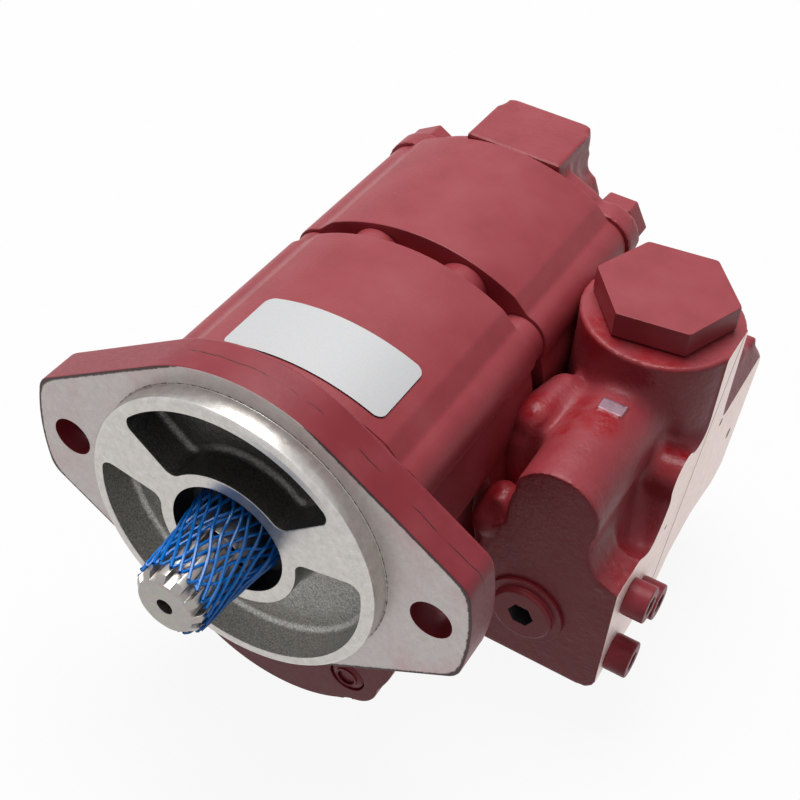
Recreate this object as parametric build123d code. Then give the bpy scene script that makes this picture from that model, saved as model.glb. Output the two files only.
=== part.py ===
from build123d import *
import os
from math import cos, pi, radians, sin, sqrt, tan

# Tandem external gear pump with a valve block on its right side.
# Sizes are in millimetres. X runs to the right seen from the shaft end,
# Y runs back from the flange face, and Z runs up. The origin is the pilot's
# centre on the flange's front face.

# Mounting flange: the two-bolt size A pattern
pilot_r = 41.275
pilot_height = 6.35
pilot_chamfer = 0.9
flange_bolt_pitch = 106.4
flange_hole_r = 5.55
flange_thickness = 12.5
flange_round_r = 46.4
flange_ear_r = 63.7
flange_side_slope = 32.3
flange_corner_r = 6.5

# Pockets cast between the bore's boss and the pilot's rim
boss_ring_r = 19.9
pocket_outer_r = 37.9
pocket_depth = 10.0
pocket_corner_r = 3.0
upper_pocket_from = 40.0
upper_pocket_to = 141.0
lower_pocket_from = 170.0
lower_pocket_to = 371.5

# Pump body: the same outline runs through covers and housings
crown_r = 59.0
crown_top = 36.0
crown_half_width = 28.5
shoulder_slope = 45.0
shoulder_top_r = 5.0
shoulder_root_r = 4.0
flank_r = 40.5
idler_z = -38.5
body_bottom_r = 39.5
waist_half_width = 37.0
lobe_r = 8.3
lower_lobe_r = 9.4
cut_margin = 10.0
cover_plate_thickness = 5.5
front_housing_length = 59.0
carrier_length = 6.0
rear_housing_length = 51.5
rear_cover_thickness = 8.5
carrier_inset = 7.0
carrier_lobe_x = 13.0
carrier_lobe_z = 25.0
carrier_lobe_r = 7.8
carrier_boss_wall = 2.5
rear_cover_inset = 3.0

# Tie bolts
tie_bolt_r = 5.0
tie_bolt_clearance = 0.4
tie_head_across_flats = 15.0
tie_head_height = 6.4
upper_left_head_turn = 30.0
upper_tie_x = 31.2
upper_tie_z = 16.2
lower_tie_x = 24.6
lower_tie_z = -59.2
tie_lobe_r = 9.4
tie_counterbore_r = 5.3
tie_counterbore_depth = 3.0
tie_tip_proud = 1.0
upper_tie_sink = 4.0
upper_tie_gap = 1.0

# Shaft and what sits round it
shaft_r = 9.525
shaft_front = -30.5
shaft_in_housing = 28.0
spline_teeth = 11
spline_major_r = 9.3
spline_minor_r = 7.7
spline_end = -12.0
spline_tooth_root = 2.0
shaft_end_chamfer = 1.8
shaft_tip_margin = 0.5
centre_hole_r = 2.2
centre_hole_depth = 7.0
running_clearance = 0.05
bore_r = 16.0
seal_front = 3.2
seal_width = 7.0
ring_front = 1.6
ring_thickness = 1.4
ring_groove_depth = 0.9
ring_inner_r = 13.0
ring_gap_half_width = 3.0
bush_outer_r = 13.0
bush_front = 10.6
shaft_bore_gap = 2.0
sleeve_gap = 0.05
sleeve_wall = 1.0
sleeve_front = -28.5
sleeve_rear = -4.0

# Port block on the rear cover
port_block_half_width = 15.0
port_block_gap = 0.4
port_block_length = 25.4
port_block_top = 35.5
port_block_bottom = -4.0
port_block_foot = 21.0
port_block_foot_z = 15.0
port_block_side_z = 29.0
port_block_corner_r = 4.0
milled_flat_inset = 2.3
milled_flat_drop = 4.0
milled_flat_r = 10.5
outlet_r = 6.4
outlet_depth = 13.0
outlet_z = 20.5
outlet_spot_r = 10.5
outlet_spot_depth = 0.8

# Inlet port on the left flank
inlet_from_seam = 25.0
inlet_z = -19.5
inlet_r = 13.2
inlet_depth = 18.0
inlet_pad_r = 22.0
inlet_pad_height = 3.0
inlet_spot_r = 17.5
inlet_spot_depth = 0.8

# Valve block: its places along the pump are measured from the seam between the
# housings, and its places across it from the flat that it seats on
valve_pad_standoff = 2.5
valve_front_reach = 36.0
valve_joint_reach = 2.0
valve_rear_reach = 68.0
valve_width = 40.0
valve_bottom = -62.0
valve_shoulder_z = -20.5
tunnel_out = 19.0
tunnel_z = -0.7
tunnel_r = 12.3
neck_left_out = 6.5
neck_right_out = 30.0
neck_bottom = -12.0
neck_flare_out = 33.3
neck_flare_rise = 3.4
boss_out = 18.4
boss_reach = 25.3
boss_r = 22.6
boss_top = 21.5
boss_foot = -30.0
boss_bevel = 0.8
valve_pad_setback = 7.0
valve_pad_rear_setback = 2.5
valve_pad_top = -6.0
valve_pad_bottom = -59.0
valve_corner_r = 4.5
flank_gap = 0.5
lug_r = 5.0
lug_out = 2.6
lug_setback = 6.6
lug_bottom = -21.5
lug_top = -4.0
web_r = 4.8
web_length = 14.0
web_top = 4.0
web_left_gap = 0.8
web_floor_gap = 0.5
web_into_neck = 2.0

# Saddle that rises from the shoulder to the joint, as (share of its run, share of its rise)
saddle_front_setback = 13.0
saddle_run = 32.5
saddle_top = -5.0
saddle_root = -40.0
saddle_curve = [
    (0.0, 0.0), (0.37, 0.03), (0.52, 0.23), (0.62, 0.52), (0.71, 0.74), (0.85, 0.92), (1.0, 1.0)]

# Machined right side of the rear casting, as (share of its length, share of its height)
rear_side_top = 8.0
rear_side_curve = [
    (0.0, 0.0), (0.0, 0.774), (0.106, 0.814), (0.35, 0.814), (0.5, 1.0), (0.59, 1.0),
    (0.697, 0.886), (0.894, 0.843), (1.0, 0.7), (0.91, 0.43), (0.82, 0.157), (0.69, 0.133),
    (0.4, 0.18), (0.17, 0.13), (0.09, 0.06), (0.0, 0.0)]
rear_lean_foot = -14.0
rear_lean_knee = -3.0
rear_lean_knee_in = 2.2
rear_lean_in = 9.5

# Hex plug in the boss
plug_left = 0.8
plug_back = 1.7
plug_across_flats = 34.4
plug_height = 8.0
plug_thread_r = 13.0
plug_thread_length = 14.0
plug_turn = 9.0
plug_edge = 0.3
plug_corner_cut = 0.1
plug_end_gap = 1.0
plug_seal_outer_r = 16.4
plug_seal_thickness = 0.5

# Plug in the valve block's front port
front_port_out = 16.4
front_port_z = -41.4
front_plug_collar_r = 11.4
front_plug_collar = 1.2
front_plug_head_r = 8.9
front_plug_head = 1.8
front_plug_edge = 0.6
front_plug_thread_r = 8.0
front_plug_length = 6.0
front_plug_end_gap = 0.5
front_plug_hex = 6.5
front_plug_hex_depth = 5.0

# Socket-head screws that hold the valve block
screw_r = 3.0
screw_clearance = 0.3
screw_head_r = 5.4
screw_head_height = 6.6
screw_hex = 5.0
screw_hex_depth = 3.5
screw_reach = 12.0
upper_screw_back = 12.0
upper_screw_z = -32.0
middle_screw_back = 23.0
middle_screw_z = -42.5
lower_screw_back = 9.0
lower_screw_z = -53.0

# Name plate on the front housing
label_left = -21.3
label_right = 24.6
label_from_cover = 3.9
label_length = 20.7
label_thickness = 0.4
label_corner_r = 2.5

# Places along the pump's length that follow from the sizes above
cover_rear = flange_thickness + cover_plate_thickness
front_housing_rear = cover_rear + front_housing_length
carrier_rear = front_housing_rear + carrier_length
rear_housing_rear = carrier_rear + rear_housing_length
rear_cover_rear = rear_housing_rear + rear_cover_thickness
port_block_front = rear_housing_rear + port_block_gap
port_block_rear = port_block_front + port_block_length
shaft_rear = cover_rear + shaft_in_housing
inlet_y = front_housing_rear - inlet_from_seam
label_front = cover_rear + label_from_cover
label_rear = label_front + label_length
valve_front = carrier_rear - valve_front_reach
valve_joint = carrier_rear + valve_joint_reach
valve_rear = carrier_rear + valve_rear_reach
valve_pad_front = valve_front + valve_pad_setback
valve_pad_rear = rear_housing_rear - valve_pad_rear_setback
boss_y = carrier_rear + boss_reach
lug_y = valve_front + lug_setback
web_front = valve_joint - web_length
saddle_front = valve_front + saddle_front_setback
plug_y = boss_y + plug_back

# Places across the pump
crown_z = crown_top - crown_r
valve_pad_x = flank_r + valve_pad_standoff
valve_right = valve_pad_x + valve_width
tunnel_x = valve_pad_x + tunnel_out
neck_left = valve_pad_x + neck_left_out
neck_right = valve_pad_x + neck_right_out
boss_x = valve_pad_x + boss_out
lug_x = valve_pad_x + lug_out
web_left = flank_r + web_left_gap
plug_x = boss_x - plug_left
front_port_x = valve_pad_x + front_port_out
screw_places = {
    "valve_screw_upper": (valve_front + upper_screw_back, upper_screw_z),
    "valve_screw_middle": (valve_front + middle_screw_back, middle_screw_z),
    "valve_screw_lower": (valve_front + lower_screw_back, lower_screw_z),
}
tie_places = {
    "tie_bolt_upper_left": (-upper_tie_x, upper_tie_z),
    "tie_bolt_upper_right": (upper_tie_x, upper_tie_z),
    "tie_bolt_lower_left": (-lower_tie_x, lower_tie_z),
    "tie_bolt_lower_right": (lower_tie_x, lower_tie_z),
}


def along_x(profile, start, end):
    """Extrude a (y, z) profile from x = start to x = end."""
    return Pos(start, 0, 0) * extrude(Plane.YZ * profile, end - start)


def along_y(profile, start, end):
    """Extrude an (x, z) profile from y = start to y = end."""
    return Pos(0, end, 0) * extrude(Plane.XZ * profile, end - start)


def along_z(profile, start, end):
    """Extrude an (x, y) profile from z = start to z = end."""
    return Pos(0, 0, start) * extrude(profile, end - start)


def block(x0, x1, y0, y1, z0, z1):
    """A box between two corners."""
    return Pos((x0 + x1) / 2, (y0 + y1) / 2, (z0 + z1) / 2) * Box(x1 - x0, y1 - y0, z1 - z0)


def patch(x0, x1, z0, z1):
    """A flat rectangle between two corners."""
    return Pos((x0 + x1) / 2, (z0 + z1) / 2) * Rectangle(x1 - x0, z1 - z0)


def rod_y(x, z, r, start, end):
    return along_y(Pos(x, z) * Circle(r), start, end)


def rod_x(y, z, r, start, end):
    return along_x(Pos(y, z) * Circle(r), start, end)


def flange_outline():
    """Round centre, straight tangent sides and round-ended ears."""
    slope = radians(flange_side_slope)
    tip_x = flange_round_r / sin(slope)
    touch_x = flange_round_r * sin(slope)
    touch_z = flange_round_r * cos(slope)
    ears = make_face(Polyline(
        (touch_x, touch_z), (tip_x, 0), (touch_x, -touch_z),
        (-touch_x, -touch_z), (-tip_x, 0), (-touch_x, touch_z), (touch_x, touch_z)))
    outline = ears & Circle(flange_ear_r)
    middle = (flange_round_r + flange_ear_r) / 2
    corners = [v for v in outline.vertices() if Vector(v.X, v.Y).length > middle]
    outline = fillet(corners, flange_corner_r)
    return outline + Circle(flange_round_r)


def crown_section(inset):
    """The crowned top between two shoulders that slope down to the bolt lobes."""
    r = crown_r - inset
    half = crown_half_width - inset
    corner_z = crown_z + sqrt(r * r - half * half)
    reach = upper_tie_x + (lobe_r - inset) / 2
    drop = (reach - half) * tan(radians(shoulder_slope))
    side = [(half, 2 * crown_top), (half, corner_z), (reach, corner_z - drop), (reach, 0)]
    outline = side + [(-x, z) for x, z in reversed(side)]
    return Pos(0, crown_z) * Circle(r) & make_face(Polyline(*outline, outline[0]))


def body_outline(inset=0.0):
    """Crowned top with two bolt lobes over the rounds of the two gears."""
    waist = waist_half_width - inset
    flank = Circle(flank_r - inset) & patch(-flank_r, flank_r, -flank_r, upper_tie_z)
    outline = crown_section(inset) + flank + patch(-waist, waist, idler_z, 0)
    outline += Pos(0, idler_z) * Circle(body_bottom_r - inset)
    for x, z in tie_places.values():
        outline += Pos(x, z) * Circle((lobe_r if z > 0 else lower_lobe_r) - inset)
    if inset == 0:
        half = crown_half_width
        above = [v for v in outline.vertices() if v.Y > upper_tie_z]
        roots = [v for v in above if abs(v.X) > half + shoulder_root_r / 2]
        outline = fillet(roots, shoulder_root_r)
        tops = [v for v in outline.vertices() if v.Y > upper_tie_z and abs(abs(v.X) - half) < half / 100]
        outline = fillet(tops, shoulder_top_r)
    return outline


def pocket(start_angle, end_angle):
    """The kidney between the bore's boss and the pilot's rim."""
    reach = 2 * pilot_r
    steps = 16
    points = [(0, 0)]
    for i in range(steps + 1):
        a = radians(start_angle + (end_angle - start_angle) * i / steps)
        points.append((reach * cos(a), reach * sin(a)))
    points.append((0, 0))
    wedge = make_face(Polyline(*points))
    ring = Circle(pocket_outer_r) - Circle(boss_ring_r)
    kidney = ring & wedge
    return fillet(kidney.vertices(), pocket_corner_r)


def tie_bolt_holes(solid, start, end):
    for x, z in tie_places.values():
        solid -= rod_y(x, z, tie_bolt_r + tie_bolt_clearance, start, end)
    return solid


def front_cover():
    plate = along_y(flange_outline(), 0, flange_thickness)
    cover = plate + along_y(body_outline(), flange_thickness, cover_rear)
    pilot = rod_y(0, 0, pilot_r, -pilot_height, 0)
    rim = pilot.edges().filter_by(GeomType.CIRCLE).sort_by(Axis.Y)[0]
    cover += chamfer(rim, pilot_chamfer)
    for start, end in ((upper_pocket_from, upper_pocket_to), (lower_pocket_from, lower_pocket_to)):
        cover -= along_y(pocket(start, end), -pilot_height, -pilot_height + pocket_depth)
    cover -= rod_y(0, 0, bore_r, -pilot_height, bush_front)
    cover -= rod_y(0, 0, bore_r + ring_groove_depth, ring_front, ring_front + ring_thickness)
    cover -= rod_y(0, 0, bush_outer_r, bush_front, cover_rear)
    for side in (-1, 1):
        x = side * flange_bolt_pitch / 2
        cover -= rod_y(x, 0, flange_hole_r, 0, flange_thickness)
    for x, z in tie_places.values():
        if z < 0:
            floor = flange_thickness + tie_counterbore_depth
            cover -= rod_y(x, z, tie_counterbore_r, flange_thickness, floor)
            cover -= rod_y(x, z, tie_bolt_r, floor, cover_rear)
        else:
            cover -= rod_y(x, z, tie_bolt_r, flange_thickness - upper_tie_sink, cover_rear)
    return cover


def valve_pad(start, end):
    """Flat on the right flank that the valve block seats on."""
    return block(waist_half_width / 2, valve_pad_x, start, end, valve_pad_bottom, valve_pad_top)


def screw_holes(solid, r, start, end):
    for y, z in screw_places.values():
        solid -= rod_x(y, z, r, start, end)
    return solid


def front_gear_housing():
    housing = along_y(body_outline(), cover_rear, front_housing_rear)
    housing += valve_pad(valve_pad_front, front_housing_rear)
    housing = screw_holes(housing, screw_r, valve_pad_x - screw_reach, valve_pad_x)
    mouth = -flank_r - inlet_pad_height
    housing += rod_x(inlet_y, inlet_z, inlet_pad_r, mouth, -waist_half_width / 2)
    housing -= rod_x(inlet_y, inlet_z, inlet_spot_r, mouth, mouth + inlet_spot_depth)
    housing -= rod_x(inlet_y, inlet_z, inlet_r, mouth, mouth + inlet_spot_depth + inlet_depth)
    housing -= rod_y(0, 0, shaft_r + shaft_bore_gap, cover_rear, shaft_rear + shaft_bore_gap)
    return tie_bolt_holes(housing, cover_rear, front_housing_rear)


def bearing_carrier():
    plate = along_y(body_outline(carrier_inset), front_housing_rear, carrier_rear)
    for x, z in tie_places.values():
        plate += rod_y(x, z, tie_bolt_r + carrier_boss_wall, front_housing_rear, carrier_rear)
    for side in (-1, 1):
        plate += rod_y(side * carrier_lobe_x, carrier_lobe_z, carrier_lobe_r,
                       front_housing_rear, carrier_rear)
    return tie_bolt_holes(plate, front_housing_rear, carrier_rear)


def rear_gear_housing():
    housing = along_y(body_outline(), carrier_rear, rear_housing_rear)
    housing += valve_pad(carrier_rear, valve_pad_rear)
    return tie_bolt_holes(housing, carrier_rear, rear_housing_rear)


def rear_cover():
    cover = along_y(body_outline(rear_cover_inset), rear_housing_rear, rear_cover_rear)
    for x, z in tie_places.values():
        cover += rod_y(x, z, tie_lobe_r, rear_housing_rear, rear_cover_rear)
    half = port_block_half_width
    side = [(half, port_block_top), (half, port_block_side_z), (port_block_foot, port_block_foot_z),
            (port_block_foot, port_block_bottom)]
    outline = side + [(-x, z) for x, z in reversed(side)]
    port = along_y(make_face(Polyline(*outline, outline[0])), port_block_front, port_block_rear)
    rear_edges = port.edges().group_by(Axis.Y)[-1]
    sides = [e for e in rear_edges if abs(e.center().X) > outlet_r]
    cover += fillet(sides, port_block_corner_r)
    milled_y = port_block_rear - milled_flat_inset
    milled_z = port_block_top - milled_flat_drop
    cover -= rod_x(milled_y, milled_z, milled_flat_r, half, port_block_foot + cut_margin)
    mouth = port_block_rear
    cover -= rod_y(0, outlet_z, outlet_spot_r, mouth - outlet_spot_depth, mouth)
    cover -= rod_y(0, outlet_z, outlet_r, mouth - outlet_spot_depth - outlet_depth, mouth)
    return tie_bolt_holes(cover, rear_housing_rear, rear_cover_rear)


def tie_bolt(x, z, turn):
    """A long bolt with its hex head on the rear cover."""
    if z < 0:
        tip = flange_thickness + tie_counterbore_depth - tie_tip_proud
    else:
        tip = flange_thickness - upper_tie_sink + upper_tie_gap
    shank = rod_y(x, z, tie_bolt_r, tip, rear_cover_rear)
    hexagon = RegularPolygon(tie_head_across_flats / 2, 6, major_radius=False)
    head = Pos(x, z) * Rot(0, 0, turn) * hexagon
    return shank + along_y(head, rear_cover_rear, rear_cover_rear + tie_head_height)


def valve_front_profile():
    """Tunnel, neck and lower block seen along the pump's length."""
    tunnel = Pos(tunnel_x, tunnel_z) * Circle(tunnel_r)
    flare = (valve_pad_x + neck_flare_out, valve_shoulder_z + neck_flare_rise)
    neck = make_face(Polyline(
        (neck_left, tunnel_z), (neck_right, tunnel_z), (neck_right, neck_bottom),
        flare, (valve_right, valve_shoulder_z), (valve_pad_x, valve_shoulder_z),
        (neck_left, neck_bottom), (neck_left, tunnel_z)))
    lower = patch(valve_pad_x, valve_right, valve_bottom, valve_shoulder_z)
    corners = lower.vertices().group_by(Axis.Y)[0]
    lower = fillet(corners, valve_corner_r)
    return tunnel + neck + lower


def valve_body():
    body = along_y(valve_front_profile(), valve_front, valve_joint)
    rise = saddle_top - valve_shoulder_z
    side = [(saddle_front + saddle_run * a, valve_shoulder_z + rise * b) for a, b in saddle_curve]
    side += [(valve_joint, saddle_root), (saddle_front, saddle_root)]
    body += along_x(make_face(Polyline(*side, side[0])), neck_left, valve_right)
    lug = along_z(Pos(lug_x, lug_y) * Circle(lug_r), lug_bottom, lug_top)
    body += fillet(lug.edges().filter_by(GeomType.CIRCLE), lug_r * 0.6)
    body += block(valve_pad_x, neck_left + web_into_neck, web_front, valve_joint, valve_shoulder_z, web_top)
    nose = along_z(Pos(valve_pad_x + web_r, web_front) * Circle(web_r), valve_shoulder_z, web_top)
    body += nose
    body &= block(valve_pad_x, valve_right, valve_front, valve_joint, valve_bottom, crown_top)
    web_floor = valve_pad_top + web_floor_gap
    body += block(web_left, valve_pad_x, web_front, valve_joint, web_floor, web_top)
    depth = valve_front + front_plug_length
    body -= rod_y(front_port_x, front_port_z, front_plug_thread_r, valve_front, depth + front_plug_end_gap)
    return screw_holes(body, screw_r + screw_clearance, valve_pad_x, valve_right)


def valve_rear_body():
    length = valve_rear - valve_joint
    height = rear_side_top - valve_bottom
    side = [(valve_joint + length * a, valve_bottom + height * b) for a, b in rear_side_curve]
    body = along_x(make_face(Polyline(*side)), valve_pad_x, valve_right)
    lean = make_face(Polyline(
        (valve_right, rear_lean_foot), (valve_right - rear_lean_knee_in, rear_lean_knee),
        (valve_right - rear_lean_in, rear_side_top), (valve_right, rear_side_top),
        (valve_right, rear_lean_foot)))
    body -= along_y(lean, boss_y, valve_rear)
    body += rod_y(tunnel_x, tunnel_z, tunnel_r, valve_joint, boss_y)
    boss = along_z(Pos(boss_x, boss_y) * Circle(boss_r), boss_foot, boss_top)
    rim = boss.edges().filter_by(GeomType.CIRCLE).sort_by(Axis.Z)[-1]
    body += chamfer(rim, boss_bevel)
    left = valve_pad_x - boss_r
    rear = valve_rear + cut_margin
    bottom = valve_bottom - cut_margin
    top = boss_top + cut_margin
    body &= block(left, valve_right, valve_joint, rear, bottom, top)
    body -= block(left, valve_pad_x, valve_joint, rear, bottom, valve_pad_top)
    body -= block(left, flank_r + flank_gap, valve_joint, rear_cover_rear + cut_margin, bottom, top)
    thread = Pos(plug_x, plug_y) * Circle(plug_thread_r)
    body -= along_z(thread, boss_top - plug_thread_length, boss_top)
    return body


def hex_plug():
    seat = boss_top + plug_seal_thickness
    top = boss_top + plug_height
    head = RegularPolygon(plug_across_flats / 2, 6, major_radius=False)
    head = along_z(Pos(plug_x, plug_y) * Rot(0, 0, plug_turn) * head, seat, top)
    cap_r = plug_across_flats / 2 / cos(pi / 6) - plug_corner_cut
    cap = along_z(Pos(plug_x, plug_y) * Circle(cap_r), boss_top, top)
    rim = cap.edges().filter_by(GeomType.CIRCLE).sort_by(Axis.Z)[-1]
    head = head & chamfer(rim, plug_edge)
    thread = Pos(plug_x, plug_y) * Circle(plug_thread_r)
    return head + along_z(thread, boss_top - plug_thread_length + plug_end_gap, seat)


def hex_plug_seal():
    ring = Circle(plug_seal_outer_r) - Circle(plug_thread_r)
    return along_z(Pos(plug_x, plug_y) * ring, boss_top, boss_top + plug_seal_thickness)


def front_port_plug():
    seat = valve_front - front_plug_collar
    face = seat - front_plug_head
    plug = rod_y(front_port_x, front_port_z, front_plug_head_r, face, seat)
    rim = plug.edges().filter_by(GeomType.CIRCLE).sort_by(Axis.Y)[0]
    plug = chamfer(rim, front_plug_edge)
    plug += rod_y(front_port_x, front_port_z, front_plug_collar_r, seat, valve_front)
    end = valve_front + front_plug_length
    plug += rod_y(front_port_x, front_port_z, front_plug_thread_r, valve_front, end)
    socket = Pos(front_port_x, front_port_z) * RegularPolygon(front_plug_hex / 2, 6, major_radius=False)
    return plug - along_y(socket, face, face + front_plug_hex_depth)


def valve_screw(y, z):
    top = valve_right + screw_head_height
    screw = rod_x(y, z, screw_head_r, valve_right, top)
    screw += rod_x(y, z, screw_r, valve_pad_x - screw_reach, valve_right)
    socket = Pos(y, z) * RegularPolygon(screw_hex / 2, 6, major_radius=False)
    return screw - along_x(socket, top - screw_hex_depth, top)


def drive_shaft():
    spline = Circle(spline_minor_r)
    tooth_width = pi * (spline_major_r + spline_minor_r) / 2 / spline_teeth
    root = spline_minor_r - spline_tooth_root
    depth = spline_major_r - root
    for i in range(spline_teeth):
        tooth = Pos(root + depth / 2, 0) * Rectangle(depth, tooth_width)
        spline += Rot(0, 0, 360 * i / spline_teeth) * tooth
    spline = spline & Circle(spline_major_r)
    shaft = along_y(spline, shaft_front, spline_end)
    tip = rod_y(0, 0, spline_major_r + shaft_tip_margin, shaft_front, spline_end)
    rim = tip.edges().filter_by(GeomType.CIRCLE).sort_by(Axis.Y)[0]
    shaft = shaft & chamfer(rim, shaft_end_chamfer + shaft_tip_margin)
    shaft += rod_y(0, 0, shaft_r, spline_end, shaft_rear)
    return shaft - rod_y(0, 0, centre_hole_r, shaft_front, shaft_front + centre_hole_depth)


def shaft_sleeve():
    inner = shaft_r + sleeve_gap
    ring = Circle(inner + sleeve_wall) - Circle(inner)
    return along_y(ring, sleeve_front, sleeve_rear)


def shaft_seal():
    ring = Circle(bore_r) - Circle(shaft_r + running_clearance)
    return along_y(ring, seal_front, seal_front + seal_width)


def retaining_ring():
    ring = Circle(bore_r + ring_groove_depth) - Circle(ring_inner_r)
    gap = patch(-ring_gap_half_width, ring_gap_half_width, -2 * bore_r, 0)
    return along_y(ring - gap, ring_front, ring_front + ring_thickness)


def shaft_bush():
    ring = Circle(bush_outer_r) - Circle(shaft_r + running_clearance)
    return along_y(ring, bush_front, cover_rear)


def label_plate():
    """A thin bare plate that follows the crown."""
    shell = Pos(0, crown_z) * (Circle(crown_r + label_thickness) - Circle(crown_r))
    centre = Pos((label_left + label_right) / 2, (label_front + label_rear) / 2)
    outline = centre * RectangleRounded(label_right - label_left, label_length, label_corner_r)
    return along_y(shell, label_front, label_rear) & along_z(outline, 0, 2 * crown_top)


parts = {
    "front_cover": front_cover(),
    "front_gear_housing": front_gear_housing(),
    "bearing_carrier": bearing_carrier(),
    "rear_gear_housing": rear_gear_housing(),
    "rear_cover": rear_cover(),
    "valve_body": valve_body(),
    "valve_rear_body": valve_rear_body(),
    "hex_plug": hex_plug(),
    "hex_plug_seal": hex_plug_seal(),
    "front_port_plug": front_port_plug(),
    "drive_shaft": drive_shaft(),
    "shaft_sleeve": shaft_sleeve(),
    "shaft_seal": shaft_seal(),
    "retaining_ring": retaining_ring(),
    "shaft_bush": shaft_bush(),
    "label_plate": label_plate(),
}
for name, (x, z) in tie_places.items():
    parts[name] = tie_bolt(x, z, upper_left_head_turn if x < 0 < z else 0)
for name, (y, z) in screw_places.items():
    parts[name] = valve_screw(y, z)

os.makedirs("parts", exist_ok=True)
for name, solid in parts.items():
    export_step(solid, f"parts/{name}.step")
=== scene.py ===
from math import cos, hypot, pi, radians, sin

import bmesh
import bpy
from mathutils import Matrix, Vector, noise


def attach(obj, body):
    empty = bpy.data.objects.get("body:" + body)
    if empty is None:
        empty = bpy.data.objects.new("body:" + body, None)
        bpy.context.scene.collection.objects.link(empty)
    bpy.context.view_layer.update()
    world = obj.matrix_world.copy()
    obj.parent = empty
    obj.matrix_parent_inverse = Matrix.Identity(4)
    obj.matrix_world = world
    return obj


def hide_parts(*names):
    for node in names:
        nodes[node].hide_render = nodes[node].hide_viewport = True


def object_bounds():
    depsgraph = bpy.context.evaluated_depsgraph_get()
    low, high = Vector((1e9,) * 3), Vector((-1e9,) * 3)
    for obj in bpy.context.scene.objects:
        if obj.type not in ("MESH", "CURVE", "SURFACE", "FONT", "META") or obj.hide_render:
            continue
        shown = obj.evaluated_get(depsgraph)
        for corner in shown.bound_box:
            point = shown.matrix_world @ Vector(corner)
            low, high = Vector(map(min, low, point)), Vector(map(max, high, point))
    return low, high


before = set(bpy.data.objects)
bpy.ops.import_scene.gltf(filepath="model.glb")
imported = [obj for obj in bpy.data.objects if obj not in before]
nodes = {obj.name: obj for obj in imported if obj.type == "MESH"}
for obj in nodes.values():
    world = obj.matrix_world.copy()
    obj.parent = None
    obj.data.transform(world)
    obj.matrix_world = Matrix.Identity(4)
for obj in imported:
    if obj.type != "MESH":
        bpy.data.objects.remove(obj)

# Tandem gear pump: painted iron castings on a splined steel shaft.
# All sizes here are millimetres; mm turns them to metres.
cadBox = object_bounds()
mm = 0.001


# Nodes and colours

def hexColour(code):
    # sRGB hex to linear RGBA
    parts = [int(code[i:i + 2], 16) / 255 for i in (1, 3, 5)]
    return [p / 12.92 if p <= 0.04045 else ((p + 0.055) / 1.055) ** 2.4 for p in parts] + [1]


def perSize(size):
    # a pattern's scale for features of that size in mm, on Object coordinates in metres
    return 1000 / size


def addNode(tree, kind, links=None, stops=None, **settings):
    # links holds a socket or a fixed value per input; stops are a colour ramp's places and colours
    node = tree.nodes.new(kind)
    for name, value in settings.items():
        setattr(node, name, value)
    for socket, value in (links or {}).items():
        if isinstance(value, bpy.types.NodeSocket):
            tree.links.new(value, node.inputs[socket])
        else:
            node.inputs[socket].default_value = value
    for i, (place, colour) in enumerate(stops or []):
        points = node.color_ramp.elements
        point = points[i] if i < len(points) else points.new(place)
        point.position = place
        point.color = hexColour(colour)
    return node


def newMaterial(name):
    material = bpy.data.materials.new(name)
    material.use_nodes = True
    tree = material.node_tree
    return material, tree, tree.nodes["Principled BSDF"]


# Materials

# shaded is a darker copy of the body red, painted shade
paintLook = {
    "body": "#A13E45", "shaded": "#912D37", "deep": "#7A1D25", "chalk": "#B46266",
    "wet": "#A3101B", "scuff": "#3B1114",
    "roughness": 0.40, "smoother": 0.05, "rougher": 0.08, "wetRoughness": 0.16,
    "specular": 0.29, "tone": 0.25, "cloudSize": 14,
    "scuffWidth": 0.16, "scuffSway": 3.0, "scuffWave": 11,
}


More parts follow.
